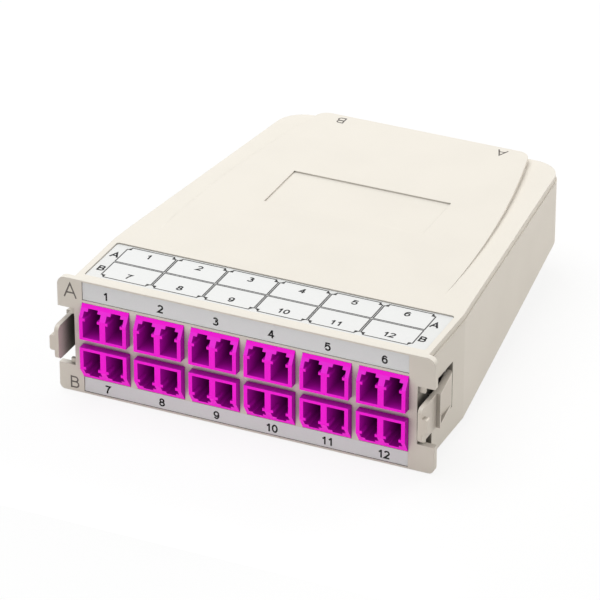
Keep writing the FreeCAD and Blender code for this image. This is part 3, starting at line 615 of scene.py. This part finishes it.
def ink(name, colour):
    """Printed ink, slightly uneven in tone; the painted shade of the engraved letters uses it too."""
    finish = Finish(name, specular=0.3)
    speckle = finish.noise(5000.0, 3.0)
    finish.feed("Base Color", finish.mottled(colour, 0.8, speckle))
    finish.feed("Roughness", finish.uneven(0.55, speckle, 0.1))
    return finish


def metal(name, colour, roughness, streak):
    """Plated steel with fine streaks: the pattern is squeezed along X, Y and Z by streak."""
    finish = Finish(name, metallic=1.0)
    stretched = finish.node("ShaderNodeMapping", inputs={"Vector": finish.place(), "Scale": streak})
    sizes = {"Vector": stretched, "Scale": 900.0, "Detail": 4.0}
    lines = finish.node("ShaderNodeTexNoise", inputs=sizes)
    finish.feed("Base Color", finish.blend(lines, opaque(colour), opaque(darker(colour, 0.85))))
    finish.feed("Roughness", finish.uneven(roughness, lines, 0.15))
    finish.bump(lines, 0.003 * MM, 0.4)
    return finish


# ---------------------------------------------------------------- operators

class CASSETTE_OT_housing(bpy.types.Operator):
    """Gives the housing, the cover and the latches their ivory moulded finish, with painted shade in
    gaps and hollows; the latches get a darker ivory as painted shade
    """

    bl_idname = "cassette.housing"
    bl_label = "Finish Housing"

    def execute(self, context):
        colours = context.scene.cassette_colours
        wear(["base_housing", "top_cover"],
             moulded("ivory_plastic", colours.ivory, 0.5, shade=0.975, light=housing_light))
        # Painted shade: the latches wear a darker copy of the ivory
        wear(["left_latch", "right_latch"],
             moulded("shaded_latch_plastic", colours.latch, 0.45, shade=0.97, light=latch_light))
        return {"FINISHED"}


class CASSETTE_OT_adapters(bpy.types.Operator):
    """Gives the duplex adapters their magenta plastic, with a painted glow on their fronts and painted
    shade on their sides, and the sleeves their ceramic
    """

    bl_idname = "cassette.adapters"
    bl_label = "Finish Adapters"

    def execute(self, context):
        colours = context.scene.cassette_colours
        wear(ADAPTERS, magenta_plastic("magenta_plastic"))
        ceramic = moulded("sleeve_ceramic", colours.ceramic, 0.2, shade=0.97)
        wear(["upper_sleeves", "lower_sleeves"], ceramic)
        return {"FINISHED"}


class CASSETTE_OT_films(bpy.types.Operator):
    """Gives the marking strips and the label card their film"""

    bl_idname = "cassette.films"
    bl_label = "Finish Films"

    def execute(self, context):
        colours = context.scene.cassette_colours
        wear(["upper_marking_strip", "lower_marking_strip"],
             film("strip_film", colours.strip_grey, 0.55))
        wear(["top_label"], film("label_card", colours.card_grey, 0.5))
        return {"FINISHED"}


class CASSETTE_OT_inner(bpy.types.Operator):
    """Finishes the pieces inside the housing and at its rear"""

    bl_idname = "cassette.inner"
    bl_label = "Finish Inner Pieces"

    def execute(self, context):
        colours = context.scene.cassette_colours
        wear(["mpo_adapter_a", "mpo_adapter_b", "adapter_retainer"],
             moulded("dark_plastic", colours.dark, 0.45, shade=0.8))
        wear(["mpo_plug_a", "mpo_plug_b", "upper_inner_plugs", "lower_inner_plugs"],
             moulded("plug_plastic", colours.plug, 0.45))
        wear(["fibre_harness"], moulded("fibre_jacket", colours.jacket, 0.35, shade=0.85))
        wear(["cover_screws", "left_latch_pin", "right_latch_pin"],
             metal("plated_steel", colours.steel, 0.32, (1.0, 1.0, 8.0)))
        wear(["left_latch_spring", "right_latch_spring"],
             metal("spring_steel", colours.steel, 0.22, (1.0, 1.0, 12.0)))
        return {"FINISHED"}


def number_row(marks, first):
    """Numbers of one row of ports, with each one's place along the front."""
    start = -(marks.ports - 1) / 2 * marks.port_pitch
    columns = range(marks.ports)
    return [(str(first + column), start + column * marks.port_pitch) for column in columns]


class CASSETTE_OT_numbers(bpy.types.Operator):
    """Prints the port numbers on the two marking strips"""

    bl_idname = "cassette.numbers"
    bl_label = "Print Port Numbers"

    def execute(self, context):
        marks = context.scene.cassette_markings
        black = ink("number_ink", context.scene.cassette_colours.ink)
        rows = (("upper", 1, marks.upper_row), ("lower", 1 + marks.ports, marks.lower_row))
        for row, first, height in rows:
            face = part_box(row + "_marking_strip")[0].y - PRINT_LIFT
            name = row + "_port_numbers"
            parts = [(text_mesh(name, number, marks.digit_height), on_front(x, face, height))
                     for number, x in number_row(marks, first)]
            add_piece(name, joined(name, parts), black)
        return {"FINISHED"}


def cell_middle(marks, column):
    """Place of a table column's middle across the card."""
    return marks.table_middle + (column - (marks.ports - 1) / 2) * marks.cell_pitch


def cell_outline(marks, column, side):
    """Stepped outline of one table cell, counterclockwise.

    Side is 1 in the rear row and -1 in the front row.
    """
    middle = cell_middle(marks, column)
    half = (marks.cell_pitch - marks.cell_gap) / 2
    inner = marks.row_gap / 2
    outer = marks.shoulder + marks.step_out
    notch = half - marks.step_in
    corners = [(-half, inner), (-half, marks.shoulder), (-notch, marks.shoulder), (-notch, outer),
               (notch, outer), (notch, marks.shoulder), (half, marks.shoulder), (half, inner)]
    return [(middle - side * x, marks.row_middle + side * y) for x, y in corners]


class CASSETTE_OT_label(bpy.types.Operator):
    """Prints the port table, its numbers and its row letters on the label card"""

    bl_idname = "cassette.label"
    bl_label = "Print Label"

    def execute(self, context):
        marks = context.scene.cassette_markings
        colours = context.scene.cassette_colours
        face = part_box("top_label")[1].z + PRINT_LIFT
        self.print_table(marks, colours, face)
        self.print_characters(marks, colours, face)
        return {"FINISHED"}

    @staticmethod
    def print_table(marks, colours, face):
        """Prints the cells' white ground, and their outlines just above it."""
        outlines = [cell_outline(marks, column, side)
                    for side in (1, -1) for column in range(marks.ports)]
        cells = filled_mesh("label_cells", outlines)
        cells.transform(on_top(0, 0, face - PRINT_LIFT / 2))
        add_piece("label_cells", cells, film("cell_white", colours.card_white, 0.5))
        table = outlined_mesh("label_table", outlines, marks.line)
        table.transform(on_top(0, 0, face))
        add_piece("label_table", table, ink("table_ink", colours.table_ink))

    @staticmethod
    def print_characters(marks, colours, face):
        """Prints the numbers in the cells, and each row's letter at both of its ends."""
        name = "label_numbers"
        parts = []
        for side, first, letter in ((1, 1, "A"), (-1, 1 + marks.ports, "B")):
            y = marks.row_middle + side * marks.number_offset
            for column in range(marks.ports):
                number = text_mesh(name, str(first + column), marks.digit_height)
                parts.append((number, on_top(cell_middle(marks, column), y, face)))
            y = marks.row_middle - marks.row_letter_drop + side * marks.row_letter_offset
            for offset in (-marks.row_letter_x, marks.row_letter_x):
                mark = text_mesh(name, letter, marks.row_letter_height)
                parts.append((mark, on_top(marks.table_middle + offset, y, face)))
        add_piece(name, joined(name, parts), ink("label_ink", colours.ink))


# Row letters on the left lobe: name, letter, height, and middle in X and Z, in millimetres
LOBE_LETTERS = (
    ("lobe_letter_a", "A", 4.1, -46.95, 28.35),
    ("lobe_letter_b", "B", 3.45, -46.35, 2.5),
)


class CASSETTE_OT_letters(bpy.types.Operator):
    """Lays the row letters on the left lobe and the rear port letters on the cover as flat dark
    strips: painted shade for engraved letters
    """

    bl_idname = "cassette.letters"
    bl_label = "Engrave Letters"

    def execute(self, context):
        marks = context.scene.cassette_markings
        # Painted shade: flat strips just above the faces stand in for the shade in engraved grooves
        painted_groove_shade = ink("groove_shade", context.scene.cassette_colours.painted_groove_shade)
        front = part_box("base_housing")[0].y - PRINT_LIFT
        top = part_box("top_cover")[1].z + PRINT_LIFT
        letters = [(name, letter, height * MM, on_front(x * MM, front, z * MM))
                   for name, letter, height, x, z in LOBE_LETTERS]
        for name, letter, side in (("rear_letter_b", "B", -1), ("rear_letter_a", "A", 1)):
            place = on_top(side * marks.rear_letter_x, marks.rear_letter_y, top, turned=True)
            letters.append((name, letter, marks.rear_letter_height, place))
        for name, letter, height, place in letters:
            mesh = text_mesh(name, letter, height, marks.groove_width / height)
            mesh.transform(place)
            add_piece(name, mesh, painted_groove_shade)
        return {"FINISHED"}


# Lamps: place, size and colour. The key and side lamps are placed from the camera's target, and
# the front lamp stands low before the bezel and lights it square on.
KEY_LAMP = ((-0.3, 0.05, 0.88), (0.8, 0.8), (0.95, 0.99, 1.0))
SIDE_LAMP = ((0.45, 0.95, 0.35), (0.6, 0.5), (1.0, 0.96, 0.9))
FRONT_LAMP = ((0.0, -0.055, 0.003), (0.14, 0.008), (1.0, 0.94, 0.9))
WHITE = (1.0, 1.0, 1.0, 1.0)
FLOOR_HALF = 3.0
# Room between the floor and the cassette's lowest point
FLOOR_GAP = 0.0002


def add_lamp(name, place, target, size, power, colour):
    """Adds a rectangular lamp that faces the target."""
    lamp = bpy.data.lights.new(name, "AREA")
    lamp.shape = "RECTANGLE"
    lamp.size, lamp.size_y = size
    lamp.energy = power
    lamp.color = colour
    holder = bpy.data.objects.new(name, lamp)
    bpy.context.scene.collection.objects.link(holder)
    holder.location = place
    holder.rotation_euler = (Vector(target) - Vector(place)).to_track_quat("-Z", "Y").to_euler()
    return holder


def white_when_seen(tree, shader, shown):
    """Makes a stage surface look white to the camera and in gloss, and keeps its own light."""
    path = tree.nodes.new("ShaderNodeLightPath")
    seen = tree.nodes.new("ShaderNodeMath")
    seen.operation = "MAXIMUM"
    tree.links.new(path.outputs["Is Camera Ray"], seen.inputs[0])
    tree.links.new(path.outputs["Is Glossy Ray"], seen.inputs[1])
    mix = tree.nodes.new("ShaderNodeMixShader")
    tree.links.new(seen.outputs[0], mix.inputs[0])
    tree.links.new(shader, mix.inputs[1])
    tree.links.new(shown, mix.inputs[2])
    return mix.outputs[0]


class CASSETTE_OT_stage(bpy.types.Operator):
    """Sets up the pale floor, the soft lamps and the camera"""

    bl_idname = "cassette.stage"
    bl_label = "Build Studio"

    def execute(self, context):
        studio = context.scene.cassette_studio
        colours = context.scene.cassette_colours
        self.build_floor(colours, studio.white_share)
        self.build_world(colours.surround, studio.surround)
        target = Vector(studio.target)
        lamps = (("key_lamp", KEY_LAMP, studio.key), ("side_lamp", SIDE_LAMP, studio.side))
        for name, (offset, size, colour), power in lamps:
            add_lamp(name, target + Vector(offset), target, size, power, colour)
        place, size, colour = FRONT_LAMP
        lit = (place[0], 0.0, place[2])
        front_lamp = add_lamp("front_lamp", place, lit, size, studio.front, colour)
        front_lamp.visible_camera = False
        self.build_camera(context, studio, target)
        context.scene.view_settings.view_transform = "Standard"
        return {"FINISHED"}

    @staticmethod
    def build_floor(colours, white_share):
        """A pale floor whose own light is plain, and which looks nearly white when it is seen."""
        mesh = bpy.data.meshes.new("floor")
        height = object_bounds()[0].z - FLOOR_GAP
        turns = ((-1, -1), (1, -1), (1, 1), (-1, 1))
        corners = [(x * FLOOR_HALF, y * FLOOR_HALF, height) for x, y in turns]
        mesh.from_pydata(corners, [], [(0, 1, 2, 3)])
        floor = bpy.data.objects.new("floor", mesh)
        bpy.context.scene.collection.objects.link(floor)
        finish = Finish("floor_paper", roughness=0.9, specular=0.1)
        finish.shader.inputs["Base Color"].default_value = opaque(colours.floor)
        bright = finish.node("ShaderNodeBsdfDiffuse", inputs={"Color": opaque(colours.paper)})
        white = finish.node("ShaderNodeEmission", inputs={"Color": WHITE})
        paper = finish.node("ShaderNodeMixShader", inputs={0: white_share, 1: bright, 2: white})
        shown = white_when_seen(finish.tree, finish.shader.outputs[0], paper.socket)
        output = finish.tree.nodes["Material Output"]
        finish.tree.links.new(shown, output.inputs[0])
        mesh.materials.append(finish.material)
        floor.visible_shadow = False
        floor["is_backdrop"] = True

    @staticmethod
    def build_world(colour, strength):
        """Even light from all sides, which is white where it is seen."""
        world = bpy.data.worlds.new("studio")
        bpy.context.scene.world = world
        world.use_nodes = True
        tree = world.node_tree
        even = tree.nodes["Background"]
        even.inputs[0].default_value = opaque(colour)
        even.inputs[1].default_value = strength
        white = tree.nodes.new("ShaderNodeBackground")
        white.inputs[0].default_value = WHITE
        shown = white_when_seen(tree, even.outputs[0], white.outputs[0])
        tree.links.new(shown, tree.nodes["World Output"].inputs[0])

    @staticmethod
    def build_camera(context, studio, target):
        """A camera turned about the target by the studio's azimuth and elevation."""
        data = bpy.data.cameras.new("camera")
        data.lens = studio.lens
        data.sensor_width = 36.0
        data.clip_end = 20.0
        camera = bpy.data.objects.new("camera", data)
        context.scene.collection.objects.link(camera)
        level = math.cos(studio.elevation)
        back = Vector((math.sin(studio.azimuth) * level, -math.cos(studio.azimuth) * level,
                       math.sin(studio.elevation)))
        camera.location = target + back * studio.distance
        camera.rotation_euler = Euler((math.pi / 2 - studio.elevation, 0.0, studio.azimuth))
        context.scene.camera = camera


OPERATORS = (
    CASSETTE_OT_housing,
    CASSETTE_OT_adapters,
    CASSETTE_OT_films,
    CASSETTE_OT_inner,
    CASSETTE_OT_numbers,
    CASSETTE_OT_label,
    CASSETTE_OT_letters,
    CASSETTE_OT_stage,
)


class CASSETTE_PT_panel(bpy.types.Panel):
    """Lists the operators that dress the cassette"""

    bl_idname = "CASSETTE_PT_panel"
    bl_label = "Fibre Cassette"
    bl_space_type = "VIEW_3D"
    bl_region_type = "UI"
    bl_category = "Cassette"

    def draw(self, context):
        for operator in OPERATORS:
            self.layout.operator(operator.bl_idname)


GROUPS = {
    "cassette_colours": CassetteColours,
    "cassette_finish": CassetteFinish,
    "cassette_markings": CassetteMarkings,
    "cassette_studio": CassetteStudio,
}


def register():
    """Adds the property groups, the operators and the panel."""
    for name, group in GROUPS.items():
        bpy.utils.register_class(group)
        setattr(bpy.types.Scene, name, PointerProperty(type=group))
    for made in (*OPERATORS, CASSETTE_PT_panel):
        bpy.utils.register_class(made)


def unregister():
    """Takes out what register() added."""
    for made in reversed((*OPERATORS, CASSETTE_PT_panel)):
        bpy.utils.unregister_class(made)
    for name, group in GROUPS.items():
        delattr(bpy.types.Scene, name)
        bpy.utils.unregister_class(group)


def main():
    """Runs every operator in the panel's order."""
    register()
    for operator in OPERATORS:
        name = operator.bl_idname.split(".")[1]
        getattr(bpy.ops.cassette, name)()


if __name__ == "__main__":
    main()
